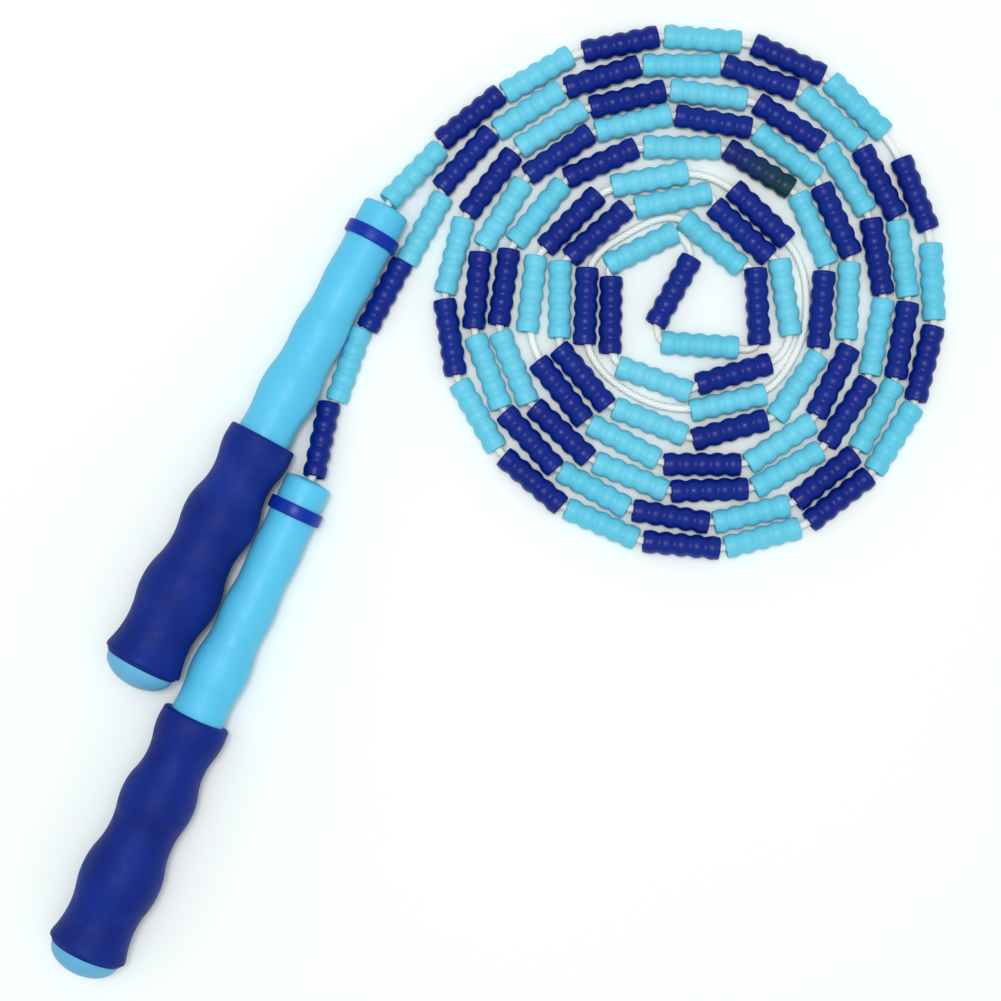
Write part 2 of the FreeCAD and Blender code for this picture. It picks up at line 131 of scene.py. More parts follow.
# ---- meshes ---------------------------------------------------------------------------------
SEED = 7
BEAD_SIDES, HANDLE_SIDES, CORD_SIDES = 40, 96, 24
DOME_STEPS, CROWN_STEPS = 16, 6
SMOOTH_ANGLE, CORD_SMOOTH_ANGLE = 38, 80     # degrees; sharper edges than these stay sharp
LINE_RESOLUTION = 40
BRAID_STRANDS = 6            # in each direction round the cord
BRAID_PITCH = 2.6            # length of cord in which a strand moves on by one place
BRAID_RELIEF = 0.07          # height of the strands as a part of the radius
CROSSING_SHARPNESS = 3.0     # how quickly one strand dives under another
BRAID_STEP, HIDDEN_STEP = 0.2, 3.0
SEEN_IN_MOUTH = 1.5          # how far into a bead's mouth the braid is modelled
OUT_OF_ROUND_LEAST, OUT_OF_ROUND_MOST = 0.01, 0.05   # of a single bead

# ---- view and light, in metres --------------------------------------------------------------
VIEW_CENTRE = (0.08681, 0.02754)
VIEW_WIDTH = 0.3241          # across the picture at the beads' height
CAMERA_HEIGHT = 0.704
NEAR_CLIP = 0.01
SENSOR_MM = 36.0
FLOOR_SIZE = 20.0
FLOOR_COLOUR, FLOOR_SHADE = (0.89, 0.945, 0.925, 1.0), (0.885, 0.94, 0.92, 1.0)
WORLD_COLOUR = (1.0, 1.0, 1.0, 1.0)
WORLD_STRENGTH = 0.60
# Each light: name, height, size, power and offset from the middle of the view.
LIGHTS = (("soft_top", 1.3, 1.0, 4.9, (0.0, 0.0)), ("key", 1.1, 0.16, 3.5, (-0.05, 0.08)))


# ---- the coil's beads -----------------------------------------------------------------------

def coil_radius(outer, angle):
    """Radius of a half's centre line at an angle in degrees; the angle falls as it winds in."""
    wave = sum(height * math.cos(math.radians(count * (angle - crest)))
               for count, height, crest in OUT_OF_ROUND)
    return outer + TURN_PITCH * angle / 360.0 + wave


def coil_point(outer, angle):
    radius = coil_radius(outer, angle)
    turn = math.radians(angle)
    return radius * math.cos(turn), radius * math.sin(turn)


def angle_after(outer, angle, chord):
    """The angle one straight chord further in along the coil."""
    start = coil_point(outer, angle)
    step = math.degrees(chord / coil_radius(outer, angle))
    for _ in range(6):
        step *= chord / math.dist(start, coil_point(outer, angle - step))
    return angle - step


def wound_beads(half):
    """Beads threaded along one half of the coil, from its outer end inward."""
    angle, outer, usual_gap, count, wide_gaps = half
    beads = []
    for index in range(count):
        end_angle = angle_after(outer, angle, BEAD_LENGTH)
        start, end = coil_point(outer, angle), coil_point(outer, end_angle)
        heading = math.degrees(math.atan2(end[1] - start[1], end[0] - start[0]))
        beads.append(((start[0] + end[0]) / 2, (start[1] + end[1]) / 2, heading))
        angle = angle_after(outer, end_angle, wide_gaps.get(index, usual_gap))
    return beads


def reversed_beads(beads):
    return [(x, y, heading + 180.0) for x, y, heading in reversed(beads)]


def push_apart(first, second):
    """The shortest move that parts two beads seen from above, or None if they are clear."""
    dx, dy = second[0] - first[0], second[1] - first[1]
    half_length = (BEAD_LENGTH + BEAD_CLEARANCE) / 2
    half_width = BEAD_RADIUS + BEAD_CLEARANCE / 2
    shortest = None
    for direction in (first[2], first[2] + 90, second[2], second[2] + 90):
        turn = math.radians(direction)
        ux, uy = math.cos(turn), math.sin(turn)
        reach = sum(abs(math.cos(math.radians(bead[2] - direction))) * half_length
                    + abs(math.sin(math.radians(bead[2] - direction))) * half_width
                    for bead in (first, second))
        offset = dx * ux + dy * uy
        depth = reach - abs(offset)
        if depth <= 0:
            return None
        if shortest is None or depth < shortest[0]:
            side = math.copysign(1.0, offset)
            shortest = (depth, ux * side, uy * side)
    return shortest


def settled(stations):
    """Beads that press into each other are moved apart, each by half, for a fixed number of rounds.
    """
    stations = [list(station) for station in stations]
    beads = [station for station in stations if len(station) == 3]
    pairs = [(a, b) for i, a in enumerate(beads) for b in beads[i + 1:]
             if math.dist(a[:2], b[:2]) < NEIGHBOUR_REACH]
    for _ in range(SETTLING_ROUNDS):
        for first, second in pairs:
            push = push_apart(first, second)
            if push:
                for bead, share in ((first, -0.5), (second, 0.5)):
                    bead[0] += share * push[0] * push[1]
                    bead[1] += share * push[0] * push[2]
    return stations


def rope_stations():
    """Every bead and bare point of the rope, from handle A to handle B, in table coordinates."""
    stations = settled(list(FIRST_LEAD) + wound_beads(FIRST_HALF) + list(MIDDLE)
                       + reversed_beads(wound_beads(SECOND_HALF)) + list(SECOND_LEAD))
    return [[s[0] + COIL_CENTRE[0], s[1] + COIL_CENTRE[1]] + s[2:] for s in stations]


# ---- handle frames --------------------------------------------------------------------------

def resting_dip():
    """How far a handle leans: it rests on its fattest wave and on the grip's upper end."""
    (fat_at, fat), (end_at, end) = GRIP_WAVES[1], GRIP_WAVES[5]
    return math.asin((fat - end) / (end_at - fat_at))


def handle_point(handle, distance):
    """Point on a handle's axis at a distance from the tip of its end cap."""
    x, y, heading = handle
    dip = resting_dip()
    along = (distance - HANDLE_LENGTH / 2) * math.cos(dip)
    turn = math.radians(heading)
    fat_at, fat = GRIP_WAVES[1]
    height = REST_GAP + fat * math.cos(dip) - (distance - fat_at) * math.sin(dip)
    return Vector((x + along * math.cos(turn), y + along * math.sin(turn), height))


def handle_axis(handle):
    return (handle_point(handle, HANDLE_LENGTH) - handle_point(handle, 0)).normalized()


def bead_ends(station, first_height, last_height):
    """A bead's two mouths."""
    x, y, heading = station
    lean = math.asin((last_height - first_height) / BEAD_LENGTH)
    half = BEAD_LENGTH / 2 * math.cos(lean)
    turn = math.radians(heading)
    step = Vector((half * math.cos(turn), half * math.sin(turn), 0))
    middle = Vector((x, y, 0))
    return (middle - step + Vector((0, 0, first_height)),
            middle + step + Vector((0, 0, last_height)))


def rope_beads(stations):
    """The mouths of all beads in order; the outermost two lean up to the handles' heads."""
    beads = [s for s in stations if len(s) == 3]
    lifted = handle_point(HANDLE_A, HANDLE_LENGTH).z - LEAD_DROP
    ends = []
    for index, station in enumerate(beads):
        first = lifted if index == 0 else BEAD_RADIUS
        last = lifted if index == len(beads) - 1 else BEAD_RADIUS
        ends.append(bead_ends(station, first, last))
    return ends


# ---- cord -----------------------------------------------------------------------------------

def cord_route(stations, ends):
    """The cord's points: inside each handle, at each bead's two mouths, and where it is bare."""
    held = (SPIGOT_END - FACE_GAP, HANDLE_LENGTH - HOLE_INSET)
    points = [(handle_point(HANDLE_A, distance), None) for distance in held]
    passed = 0
    for station in stations:
        if len(station) == 3:
            first, last = ends[passed]
            inset = (last - first).normalized() * MOUTH_INSET
            points += [(first + inset, first), (last - inset, last)]
            passed += 1
        else:
            free = min(math.dist(station, (mouth.x, mouth.y))
                       for mouth in (ends[passed - 1][1], ends[passed][0]))
            height = max(REST_HEIGHT, BEAD_RADIUS - SAG * free)
            points.append((Vector((*station, height)), None))
    points += [(handle_point(HANDLE_B, distance), None) for distance in reversed(held)]
    bends = [nearer_mouth(*trio) for trio in zip(points, points[1:], points[2:])]
    return [points[0][0]] + bends + [points[-1][0]]


def nearer_mouth(before, here, after):
    """A point inside a bead, moved out toward the mouth by as much as the cord turns there."""
    point, mouth = here
    if mouth is None:
        return point
    turn = (point - before[0]).angle(after[0] - point)
    inset = MOUTH_INSET - TURN_SHIFT * (1 - math.cos(turn))
    return mouth + (point - mouth) * (inset / MOUTH_INSET)


def section_of(number):
    """The part of the rope that a bead lies in."""
    return next(name for name, end in SECTIONS if number < end)


def bead_groups(count):
    """CAD node to bead numbers: the loose lead beads singly, the rest by half, turn and tint."""
    groups = {"lead_bead_a1": [0], "lead_bead_a2": [1], "lead_bead_b1": [count - 1],
              "lead_bead_b2": [count - 2], "teal_bead": [TEAL_BEAD]}
    singles = {number for numbers in groups.values() for number in numbers}
    for number in range(count):
        if number not in singles:
            tint = "dark" if number % 2 else "light"
            groups.setdefault("%s_beads_%s" % (tint, section_of(number)), []).append(number)
    return groups


# ---- turned shapes --------------------------------------------------------------------------

def wave(start, end, split=0.5, steps=5):
    """Profile points of two tangent arcs, level at both ends; the last point is left out."""
    run, rise = end[0] - start[0], end[1] - start[1]
    turn = 2 * math.atan(abs(rise) / run)
    sign = math.copysign(1.0, rise)
    points = []
    for origin, length, direction, shares in (
            (start, split * run, 1, [i / steps for i in range(steps)]),
            (end, (1 - split) * run, -1, [1 - i / steps for i in range(steps)])):
        radius = length / math.sin(turn)
        points += [(origin[0] + direction * radius * math.sin(share * turn),
                    origin[1] + direction * sign * radius * (1 - math.cos(share * turn)))
                   for share in shares]
    return points


def wave_chain(stations, steps):
    """Waves through (distance, radius) crests and hollows, without the last one's point."""
    points = []
    for start, end in zip(stations, stations[1:]):
        points += wave(start, end, steps=steps)
    return points


def rounded(corner, before, after, radius, steps=4):
    """Profile points of a quarter arc at a square corner; before and after point away from it."""
    centre = (corner[0] + (before[0] + after[0]) * radius,
              corner[1] + (before[1] + after[1]) * radius)
    points = []
    for index in range(steps + 1):
        turn = math.pi / 2 * index / steps
        lean, rest = math.cos(turn), math.sin(turn)
        points.append((centre[0] - radius * (after[0] * lean + before[0] * rest),
                       centre[1] - radius * (after[1] * lean + before[1] * rest)))
    return points


def turned(profile, sides, closed=True):
    """Vertices and faces of a profile (x, radius) turned about X; radius 0 makes a pole."""
    rings, vertices, faces = [], [], []
    for x, radius in profile:
        count = sides if radius > 1e-6 else 1
        rings.append(list(range(len(vertices), len(vertices) + count)))
        for index in range(count):
            turn = 2 * math.pi * index / sides
            vertices.append((x, -radius * math.sin(turn), radius * math.cos(turn)))
    pairs = list(zip(rings, rings[1:]))
    if closed:
        pairs.append((rings[-1], rings[0]))
    for first, second in pairs:
        for index in range(sides):
            after = (index + 1) % sides
            corners = [first[index % len(first)], first[after % len(first)],
                       second[after % len(second)], second[index % len(second)]]
            faces.append(list(dict.fromkeys(corners)))
    return np.array(vertices), faces


def frame_along(origin, direction):
    """Rotation and origin of a frame with X along a direction and Z as near up as it can be."""
    x = direction.normalized()
    y = Vector((0, 0, 1)).cross(x).normalized()
    return np.array(Matrix((x, y, x.cross(y))).transposed()), np.array(origin)


def placed(vertices, origin, direction):
    """Vertices of a shape along X, moved to an origin and turned to a direction."""
    rotation, start = frame_along(origin, direction)
    return vertices @ rotation.T + start


# ---- the cord's line ------------------------------------------------------------------------

def spline_points(route):
    """The route's NURBS curve, read back as evenly dense points in millimetres."""
    curve = bpy.data.curves.new("cord_line", "CURVE")
    curve.dimensions = "3D"
    curve.resolution_u = LINE_RESOLUTION
    spline = curve.splines.new("NURBS")
    spline.points.add(len(route) - 1)
    for control, point in zip(spline.points, route):
        control.co = (*(point * MM), 1.0)
    spline.order_u = 3
    spline.use_endpoint_u = True
    carrier = bpy.data.objects.new("cord_line", curve)
    mesh = bpy.data.meshes.new_from_object(carrier)
    points = np.array([vertex.co for vertex in mesh.vertices]) / MM
    bpy.data.objects.remove(carrier)
    bpy.data.curves.remove(curve)
    bpy.data.meshes.remove(mesh)
    return points


def arc_lengths(points):
    """Length along the line up to each of its points."""
    steps = np.linalg.norm(np.diff(points, axis=0), axis=1)
    return np.concatenate(([0.0], np.cumsum(steps)))


def at_lengths(points, lengths, wanted):
    """Points of the line at some lengths along it."""
    return np.column_stack([np.interp(wanted, lengths, points[:, axis]) for axis in range(3)])


def nearest_index(points, place):
    return int(np.argmin(np.linalg.norm(points - np.array(place), axis=1)))


def line_pose(points, middle):
    """The line's nearest point to a bead's middle, and its direction there."""
    nearest = nearest_index(points, middle)
    return points[nearest], Vector(points[nearest + 1] - points[nearest - 1]).normalized()


# ---- meshes and objects ---------------------------------------------------------------------

def make_piece(name, vertices, faces, material, body, replaced, values=None,
               crease=SMOOTH_ANGLE):
    """A mesh object from millimetre vertices, on its CAD body, in place of some CAD nodes."""
    mesh = bpy.data.meshes.new(name)
    mesh.from_pydata((np.asarray(vertices) * MM).tolist(), [], faces)
    for key, numbers in (values or {}).items():
        mesh.attributes.new(key, "FLOAT", "POINT").data.foreach_set("value", numbers)
    mesh.shade_smooth()
    mesh.set_sharp_from_angle(angle=math.radians(crease))
    mesh.materials.append(material)
    piece = bpy.data.objects.new(name, mesh)
    bpy.context.scene.collection.objects.link(piece)
    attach(piece, body)
    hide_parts(*replaced)
    return piece


# ---- materials ------------------------------------------------------------------------------

def paint(red, green, blue):
    """Linear colour of a display colour given as 0 to 255."""
    return tuple(((c / 255 + 0.055) / 1.055) ** 2.4 if c > 10 else c / 255 / 12.92
                 for c in (red, green, blue)) + (1.0,)


class Look:
    """A Principled material whose colour, roughness and bump come from procedural nodes."""

    def __init__(self, name, **sockets):
        self.material = bpy.data.materials.new(name)
        self.material.use_nodes = True
        self.tree = self.material.node_tree
        self.shader = self.tree.nodes["Principled BSDF"]
        for socket, value in sockets.items():
            self.shader.inputs[socket.replace("_", " ")].default_value = value
        self.place = self.tree.nodes.new("ShaderNodeTexCoord").outputs["Object"]

    def node(self, kind, **settings):
        made = self.tree.nodes.new("ShaderNode" + kind)
        for key, value in settings.items():
            setattr(made, key, value)
        return made

    def feed(self, socket, source):
        if isinstance(source, (int, float, tuple)):
            socket.default_value = source
        else:
            self.tree.links.new(source, socket)

    def noise(self, scale, detail=3.0, rough=0.5):
        made = self.node("TexNoise")
        made.inputs["Scale"].default_value = scale
        made.inputs["Detail"].default_value = detail
        made.inputs["Roughness"].default_value = rough
        self.tree.links.new(self.place, made.inputs["Vector"])
        return made.outputs["Fac"]

    def spread(self, source, low, high, to_low=0.0, to_high=1.0):
        """The source from low to high, spread over to_low to to_high and held there."""
        made = self.node("MapRange", clamp=True)
        for key, value in zip(("Value", "From Min", "From Max", "To Min", "To Max"),
                              (source, low, high, to_low, to_high)):
            self.feed(made.inputs[key], value)
        return made.outputs["Result"]

    def math(self, operation, first, second):
        made = self.node("Math", operation=operation)
        self.feed(made.inputs[0], first)
        self.feed(made.inputs[1], second)
        return made.outputs[0]

    def mix(self, share, first, second):
        made = self.node("Mix", data_type="RGBA")
        self.feed(made.inputs["Factor"], share)
        self.feed(made.inputs[6], first)
        self.feed(made.inputs[7], second)
        return made.outputs[2]

    def value(self, name):
        """A number stored on the mesh's points."""
        return self.node("Attribute", attribute_name=name).outputs["Fac"]

    def bump(self, height, depth, strength, under=None):
        """A bump of a depth in millimetres, on top of another one if there is one under it."""
        made = self.node("Bump")
        made.inputs["Strength"].default_value = strength
        made.inputs["Distance"].default_value = depth * MM
        self.tree.links.new(height, made.inputs["Height"])
        if under:
            self.tree.links.new(under, made.inputs["Normal"])
        return made.outputs["Normal"]

    def finish(self, colour, roughness, normal):
        self.feed(self.shader.inputs["Base Color"], colour)
        self.feed(self.shader.inputs["Roughness"], roughness)
        self.feed(self.shader.inputs["Normal"], normal)
        return self.material


def moulded_plastic(name, colour, shade, pale, roughness, grain=0.02, glint=0.4, milky=0.0,
                    by_bead=False):
    """Injection-moulded plastic: cloudy tint, uneven gloss, a fine grain and faint scuffs."""
    look = Look(name, IOR=1.46, Specular_IOR_Level=glint, Subsurface_Weight=milky,
                Subsurface_Scale=1.2 * MM, Subsurface_Radius=(0.5, 0.9, 1.0))
    cloud = look.spread(look.noise(95.0, 3.0), 0.32, 0.68)
    tint = look.mix(look.math("MULTIPLY", cloud, 0.55), colour, shade)
    if by_bead:
        tone = look.spread(look.value("tone"), 0.0, 1.0, 0.0, 0.35)
        tint = look.mix(tone, tint, pale)
    scuffs = look.spread(look.noise(900.0, 4.0, 0.7), 0.60, 0.72)
    tint = look.mix(look.math("MULTIPLY", scuffs, 0.22), tint, pale)
    gloss = look.spread(look.noise(420.0, 2.0), 0.3, 0.7, roughness - 0.06, roughness + 0.09)
    waves = look.bump(look.noise(260.0, 2.0), 0.05, 0.5)
    return look.finish(tint, gloss, look.bump(look.noise(2600.0, 3.0), grain, 0.6, waves))


def grip_rubber(name):
    """Soft matte rubber with pale patches painted in as faint highlights, pale specks and a fine
    pebbled grain.
    """
    look = Look(name, IOR=1.48, Specular_IOR_Level=0.2, Sheen_Weight=0.02, Sheen_Roughness=0.45,
                Sheen_Tint=paint(150, 160, 190))
    deep, body, speck_and_highlight_tint = paint(0, 28, 114), paint(0, 36, 130), paint(34, 62, 152)
    tint = look.mix(look.spread(look.noise(75.0, 3.0), 0.35, 0.65), deep, body)
    # Painted highlight: pale patches stand in for the overhead light's faint highlights; the same
    # pale tint also gives the fine specks.
    painted_highlight_patches = look.spread(look.noise(42.0, 4.0, 0.6), 0.52, 0.74, 0.0, 0.42)
    tint = look.mix(painted_highlight_patches, tint, speck_and_highlight_tint)
    specks = look.spread(look.noise(1500.0, 3.0, 0.7), 0.66, 0.74, 0.0, 0.35)
    tint = look.mix(specks, tint, speck_and_highlight_tint)
    gloss = look.spread(look.noise(300.0, 3.0), 0.3, 0.7, 0.50, 0.66)
    swell = look.bump(look.noise(180.0, 2.0), 0.10, 0.5)
    return look.finish(tint, gloss, look.bump(look.noise(2100.0, 4.0, 0.6), 0.05, 0.8, swell))


def faded_bead(name):
    """The odd bead: navy at one end, turning to a dark green-blue at the other."""
    look = Look(name, IOR=1.46, Specular_IOR_Level=0.25)
    drift = look.math("ADD", look.value("along"), look.math("MULTIPLY", look.noise(160.0), 0.35))
    tint = look.mix(look.spread(drift, 0.35, 0.95), paint(12, 26, 108), paint(8, 54, 68))
    gloss = look.spread(look.noise(420.0, 2.0), 0.3, 0.7, 0.30, 0.44)
    waves = look.bump(look.noise(260.0, 2.0), 0.05, 0.5)
    return look.finish(tint, gloss, look.bump(look.noise(2600.0, 3.0), 0.02, 0.6, waves))


def braided_yarn(name):
    """White synthetic braid: bright strands with shade painted into the low valleys where they
    cross, and fine fibres.
    """
    look = Look(name, Sheen_Weight=0.3, Sheen_Roughness=0.4, Subsurface_Weight=0.1,
                Subsurface_Scale=0.6 * MM, Subsurface_Radius=(1.0, 1.0, 1.0))
    strand = look.spread(look.value("strand"), 0.0, 1.0)
    # Painted shade: the yarn is darker where the braid's surface is low, in the valleys between the
    # strands.
    tint = look.mix(strand, paint(204, 216, 211), paint(251, 255, 252))
    soil = look.spread(look.noise(130.0, 3.0), 0.50, 0.75, 0.0, 0.25)
    tint = look.mix(soil, tint, paint(228, 240, 235))
    gloss = look.spread(look.noise(900.0, 2.0), 0.3, 0.7, 0.62, 0.82)
    return look.finish(tint, gloss, look.bump(look.noise(5200.0, 2.0), 0.03, 0.7))


def table_top(name):
    look = Look(name, IOR=1.45, Specular_IOR_Level=0.15)
    tint = look.mix(look.spread(look.noise(9.0, 2.0), 0.3, 0.7), FLOOR_COLOUR, FLOOR_SHADE)
    return look.finish(tint, look.spread(look.noise(30.0), 0.3, 0.7, 0.75, 0.85),
                       look.bump(look.noise(800.0), 0.01, 0.2))


# ---- pieces ---------------------------------------------------------------------------------

def bead_profile():
    """One bead's closed profile along X: five ribs with narrower grooves, rounded end faces."""
    pitch = BEAD_LENGTH / RIB_COUNT
    groove = BEAD_RADIUS - RIB_DEPTH
    end_radius = BEAD_RADIUS - RIB_DEPTH / 3
    points = [(0.0, MOUTH_RADIUS)]
    points += rounded((0.0, end_radius), (0, -1), (1, 0), BEAD_EDGE)
    points += wave((BEAD_EDGE, end_radius), (pitch / 2, BEAD_RADIUS))[1:]
    for index in range(RIB_COUNT - 1):
        crest = (index + 0.5) * pitch
        dip = crest + pitch / 2
        points += wave((crest, BEAD_RADIUS), (dip, groove), RIB_SHARE)
        points += wave((dip, groove), (dip + pitch / 2, BEAD_RADIUS), 1 - RIB_SHARE)
    points += wave((BEAD_LENGTH - pitch / 2, BEAD_RADIUS), (BEAD_LENGTH - BEAD_EDGE, end_radius))
    points += rounded((BEAD_LENGTH, end_radius), (-1, 0), (0, -1), BEAD_EDGE)
    points += [(BEAD_LENGTH, MOUTH_RADIUS), (BEAD_LENGTH - MOUTH_DEPTH, BEAD_BORE_RADIUS),
               (MOUTH_DEPTH, BEAD_BORE_RADIUS)]
    return points


def make_beads(ends, line, looks, dice):
    """Every bead, one object for each CAD node, threaded on the cord's line."""
    shape, faces = turned(bead_profile(), BEAD_SIDES)
    along = shape[:, 0] / BEAD_LENGTH
    tones = [dice.random() for _ in ends]
    pieces = []
    for node, numbers in bead_groups(len(ends)).items():
        vertices, all_faces, tone_values, along_values = [], [], [], []
        for number in numbers:
            middle, direction = line_pose(line, (ends[number][0] + ends[number][1]) / 2)
            start = Vector(middle) - direction * (BEAD_LENGTH / 2)
            offset = len(vertices) * len(shape)
            all_faces += [[corner + offset for corner in face] for face in faces]
            vertices.append(placed(uneven(shape, dice), start, direction))
            tone_values += [tones[number]] * len(shape)
            along_values.append(along)
        slot = bead_slot(node, numbers[0])
        body = node + "_body" if node.startswith("lead") else "rope"
        values = {"tone": tone_values, "along": np.concatenate(along_values)}
        pieces.append(make_piece("ribbed_" + node, np.concatenate(vertices), all_faces,
                                 looks[slot], body, [node], values))
    return pieces


def uneven(shape, dice):
    """A bead's vertices, a little out of round, as each cools from the mould in its own way."""
    lobe = dice.uniform(0, 2 * math.pi)
    height = dice.uniform(OUT_OF_ROUND_LEAST, OUT_OF_ROUND_MOST)
    twist = dice.uniform(-1, 1)
    around = np.arctan2(-shape[:, 1], shape[:, 2])
    swell = 1 + height / BEAD_RADIUS * np.cos(2 * around - lobe + twist * shape[:, 0] / BEAD_LENGTH)
    return shape * np.column_stack([np.ones(len(shape)), swell, swell])


def bead_slot(node, number):
    if node == "teal_bead":
        return "bead_teal"
    return "bead_dark" if number % 2 else "bead_light"


def bare_spans(lengths, line, ends):
    """Stretches of the line, as pairs of lengths, that show between the beads' bores."""
    spans, start = [], 0.0
    for mouths in ends:
        entry, leave = (lengths[nearest_index(line, mouth)] for mouth in mouths)
        spans.append((start, entry + SEEN_IN_MOUTH))
        start = leave - SEEN_IN_MOUTH
    return spans + [(start, lengths[-1])]


def ring_lengths(lengths, line, ends):
    """Where the cord's rings lie: close together where it shows, far apart inside the beads."""
    spans = bare_spans(lengths, line, ends)
    wanted = []
    for (start, end), following in zip(spans, spans[1:] + [None]):
        wanted.append(np.arange(start, end, BRAID_STEP))
        if following:
            hidden = max(2, round((following[0] - end) / HIDDEN_STEP))
            wanted.append(np.linspace(end, following[0], hidden, endpoint=False))
    return np.append(np.concatenate(wanted), lengths[-1])


def unit_rows(rows):
    return rows / np.linalg.norm(rows, axis=1)[:, None]


def make_cord(line, ends, look):
    """The braided cord: a closed tube with its strands in relief along the line."""
    lengths = arc_lengths(line)
    wanted = ring_lengths(lengths, line, ends)
    centres = at_lengths(line, lengths, wanted)
    tangents = unit_rows(at_lengths(line, lengths, np.minimum(wanted + BRAID_STEP, lengths[-1]))
                         - at_lengths(line, lengths, np.maximum(wanted - BRAID_STEP, 0.0)))
    sides = unit_rows(np.cross((0.0, 0.0, 1.0), tangents))
    ups = np.cross(tangents, sides)
    turn = 2 * np.pi * np.arange(CORD_SIDES) / CORD_SIDES
    strand = braid_height(wanted[:, None], turn[None, :])
    radius = CORD_DIAMETER / 2 * (1 - BRAID_RELIEF + 2 * BRAID_RELIEF * strand)
    outward = (np.cos(turn)[None, :, None] * ups[:, None, :]
               - np.sin(turn)[None, :, None] * sides[:, None, :])
    vertices = (centres[:, None, :] + radius[..., None] * outward).reshape(-1, 3)
    last = (len(wanted) - 1) * CORD_SIDES
    faces = [[ring + i, ring + (i + 1) % CORD_SIDES,
              ring + CORD_SIDES + (i + 1) % CORD_SIDES, ring + CORD_SIDES + i]
             for ring in range(0, last, CORD_SIDES) for i in range(CORD_SIDES)]
    faces += [list(range(CORD_SIDES))[::-1], [last + i for i in range(CORD_SIDES)]]
    # The strand height is also kept on the points, for the material's painted shade in the braid's
    # valleys.
    cord = make_piece("braided_cord", vertices, faces, look, "rope", ["cord"],
                      {"strand": strand.ravel()}, CORD_SMOOTH_ANGLE)


def braid_height(along, turn):
    """0 to 1 over the cord's surface: two sets of strands, each passing over the other in turn."""
    lean = 2 * np.pi * along / BRAID_PITCH
    first, second = (BRAID_STRANDS * turn + lean) / 2, (BRAID_STRANDS * turn - lean) / 2
    over = 0.5 + 0.5 * np.tanh(CROSSING_SHARPNESS * np.sin(first) * np.sin(second))
    return np.abs(np.sin(first)) * over + np.abs(np.sin(second)) * (1 - over)


def grip_profile():
    points = [(GRIP_START, GRIP_BORE)]
    points += rounded((GRIP_START, GRIP_START_RADIUS), (0, -1), (1, 0), GRIP_EDGE)
    points += wave((GRIP_START + GRIP_EDGE, GRIP_START_RADIUS), LIP)[1:]
    points += wave(LIP, GRIP_WAVES[0], LIP_SHARE, steps=8) + wave_chain(GRIP_WAVES, steps=9)
    points += wave(GRIP_WAVES[-1], (GRIP_END - GRIP_EDGE, GRIP_END_RADIUS))
    points += rounded((GRIP_END, GRIP_END_RADIUS), (-1, 0), (0, -1), GRIP_EDGE)
    return points + [(GRIP_END, GRIP_BORE)]


def tube_profile():
    rim, shoulder = GRIP_START + FACE_GAP, GRIP_END + FACE_GAP
    points = [(rim, HANDLE_BORE), (rim, CORE_RADIUS), (shoulder, CORE_RADIUS)]
    points += wave_chain(((shoulder, SHOULDER_RADIUS),) + TUBE_WAVES, steps=9)
    points += wave(TUBE_WAVES[-1], (TUBE_END, TUBE_END_RADIUS))
    return points + [(TUBE_END, TUBE_END_RADIUS), (TUBE_END, HANDLE_BORE)]


def cap_profile():
    """Half an ellipse of revolution with a hollow plug behind it."""
    depth = GRIP_START - FACE_GAP
    points = [(depth * (1 - math.cos(turn)), CAP_RADIUS * math.sin(turn))
              for turn in (math.pi / 2 * index / DOME_STEPS for index in range(DOME_STEPS + 1))]
    return points + [(depth, PLUG_RADIUS), (PLUG_END, PLUG_RADIUS), (PLUG_END, PLUG_BORE),
                     (depth - CAP_WALL, PLUG_BORE), (depth - CAP_WALL, 0.0)]


def collar_profile():
    start, end = TUBE_END + FACE_GAP, COLLAR_END
    bore = SPIGOT_RADIUS + FACE_GAP
    points = [(start, bore)] + rounded((start, COLLAR_RADIUS), (0, -1), (1, 0), COLLAR_EDGE)
    points += rounded((end, COLLAR_RADIUS), (-1, 0), (0, -1), COLLAR_EDGE)
    return points + [(end, bore)]


def head_profile():
    start, rim = COLLAR_END + FACE_GAP, HANDLE_LENGTH - HEAD_CROWN
    edge = HEAD_RADIUS - HEAD_EDGE
    points = [(SPIGOT_START, SPIGOT_BORE), (SPIGOT_START, SPIGOT_RADIUS), (start, SPIGOT_RADIUS),
              (start, HEAD_RADIUS)]
    points += rounded((rim, HEAD_RADIUS), (-1, 0), (0, -1), HEAD_EDGE, steps=6)
    for index in range(1, CROWN_STEPS + 1):
        share = index / CROWN_STEPS
        radius = edge + (CORD_HOLE_RADIUS + HOLE_EDGE - edge) * share
        points.append((rim + HEAD_CROWN * math.sin(math.pi / 2 * share), radius))
    return points + [(HANDLE_LENGTH - HOLE_EDGE, CORD_HOLE_RADIUS),
                     (SPIGOT_END, CORD_HOLE_RADIUS), (SPIGOT_END, SPIGOT_BORE)]


def make_handles(looks):
    """The five turned pieces of each handle, each in place of its CAD node."""
    kinds = (("tube", "handle_tube", tube_profile(), "handle_plastic", True),
             ("grip", "grip_sleeve", grip_profile(), "grip_rubber", True),
             ("cap", "end_cap", cap_profile(), "cap_plastic", False),
             ("collar", "collar_ring", collar_profile(), "collar_plastic", True),
             ("head", "head_cap", head_profile(), "handle_plastic", True))
    for side, handle in (("a", HANDLE_A), ("b", HANDLE_B)):
        for name, node, profile, slot, closed in kinds:
            shape, faces = turned(profile, HANDLE_SIDES, closed)
            vertices = placed(shape, handle_point(handle, 0), handle_axis(handle))
            body = "end_cap_%s_body" % side if name == "cap" else "handle_" + side
            make_piece(name + "_" + side, vertices, faces, looks[slot], body,
                       [node + "_" + side])


# ---- stage ----------------------------------------------------------------------------------

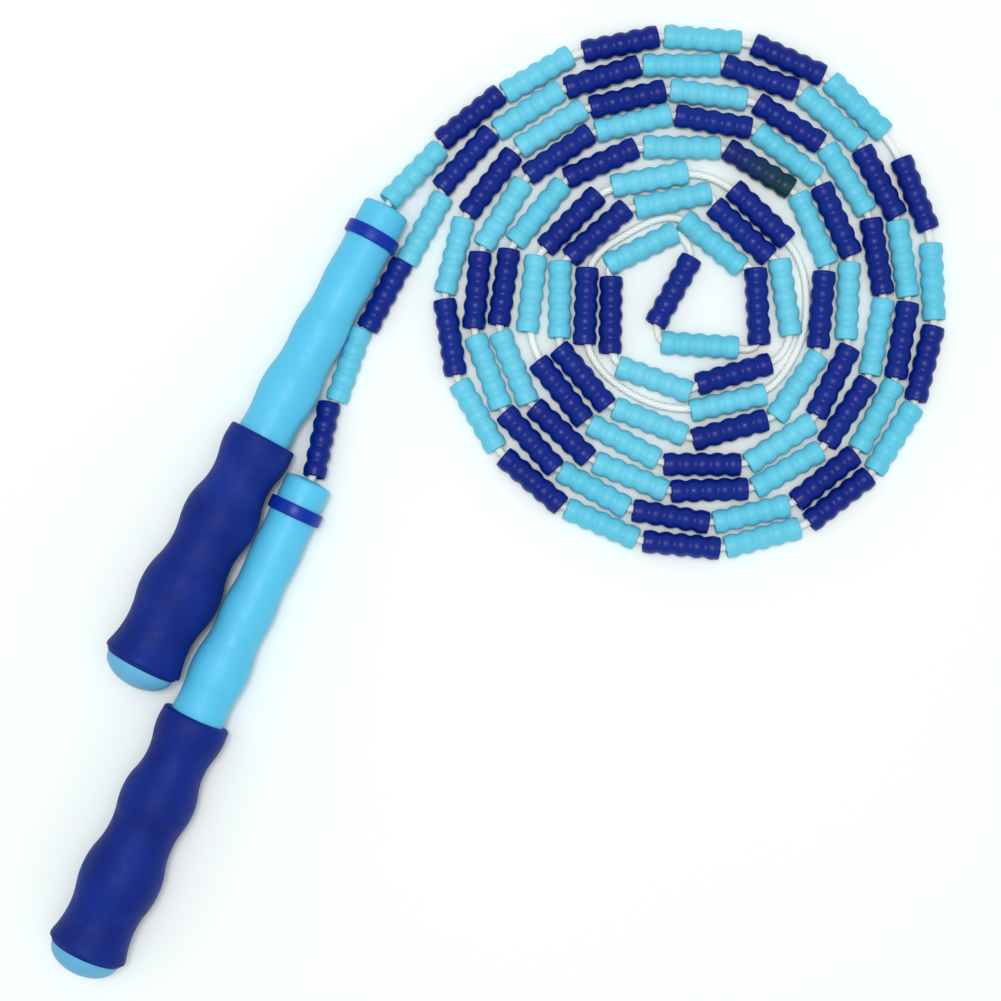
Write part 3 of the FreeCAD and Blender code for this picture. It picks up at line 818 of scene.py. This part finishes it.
def add_light(name, height, size, power, offset):
    """A round lamp above the table, shining straight down."""
    data = bpy.data.lights.new(name, "AREA")
    data.shape = "DISK"
    data.size = size
    data.energy = power
    light = bpy.data.objects.new(name, data)
    light.location = (VIEW_CENTRE[0] + offset[0], VIEW_CENTRE[1] + offset[1], height)
    bpy.context.scene.collection.objects.link(light)


def make_stage():
    """A plain pale table top under soft, even light."""
    half = FLOOR_SIZE / 2
    mesh = bpy.data.meshes.new("table_top")
    mesh.from_pydata([(-half, -half, 0), (half, -half, 0), (half, half, 0), (-half, half, 0)], [],
                     [(0, 1, 2, 3)])
    mesh.materials.append(table_top("table_top"))
    floor = bpy.data.objects.new("table_top", mesh)
    bpy.context.scene.collection.objects.link(floor)

    scene = bpy.context.scene
    scene.world = bpy.data.worlds.new("studio")
    scene.world.use_nodes = True
    background = scene.world.node_tree.nodes["Background"]
    background.inputs["Color"].default_value = WORLD_COLOUR
    background.inputs["Strength"].default_value = WORLD_STRENGTH
    scene.view_settings.view_transform = "Standard"
    for light in LIGHTS:
        add_light(*light)


def make_camera():
    """Straight down on the middle of the view."""
    data = bpy.data.cameras.new("camera")
    data.sensor_width = SENSOR_MM
    data.lens = SENSOR_MM * (CAMERA_HEIGHT - BEAD_RADIUS * MM) / VIEW_WIDTH
    data.clip_start = NEAR_CLIP
    camera = bpy.data.objects.new("camera", data)
    camera.location = (*VIEW_CENTRE, CAMERA_HEIGHT)
    bpy.context.scene.collection.objects.link(camera)
    bpy.context.scene.camera = camera


# ---- build ----------------------------------------------------------------------------------

def make_looks():
    """One material for each slot: colour, its shade, its pale scuffs, then the surface."""
    return {
        "bead_light": moulded_plastic(
            "bead_light", paint(94, 196, 222), paint(84, 188, 214), paint(128, 212, 232),
            roughness=0.42, grain=0.03, milky=0.25, by_bead=True),
        "bead_dark": moulded_plastic(
            "bead_dark", paint(0, 29, 126), paint(0, 22, 112), paint(14, 46, 144),
            roughness=0.33, grain=0.03, glint=0.25, by_bead=True),
        "bead_teal": faded_bead("bead_teal"),
        "handle_plastic": moulded_plastic(
            "handle_plastic", paint(86, 194, 231), paint(77, 185, 225), paint(132, 216, 240),
            roughness=0.46, milky=0.15),
        "cap_plastic": moulded_plastic(
            "cap_plastic", paint(98, 176, 214), paint(90, 168, 208), paint(134, 198, 226),
            roughness=0.48, milky=0.15),
        "collar_plastic": moulded_plastic(
            "collar_plastic", paint(0, 46, 160), paint(0, 38, 146), paint(46, 88, 186),
            roughness=0.35, glint=0.25),
        "grip_rubber": grip_rubber("grip_rubber"),
        "cord": braided_yarn("cord"),
    }


def build():
    make_camera()
    stations = rope_stations()
    ends = rope_beads(stations)
    line = spline_points(cord_route(stations, ends))
    looks = make_looks()
    beads = make_beads(ends, line, looks, random.Random(SEED))
    make_cord(line, ends, looks["cord"])
    make_handles(looks)
    for side in "ab":
        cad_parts["end_knot_" + side].material_slots[0].material = looks["cord"]
    make_stage()


build()
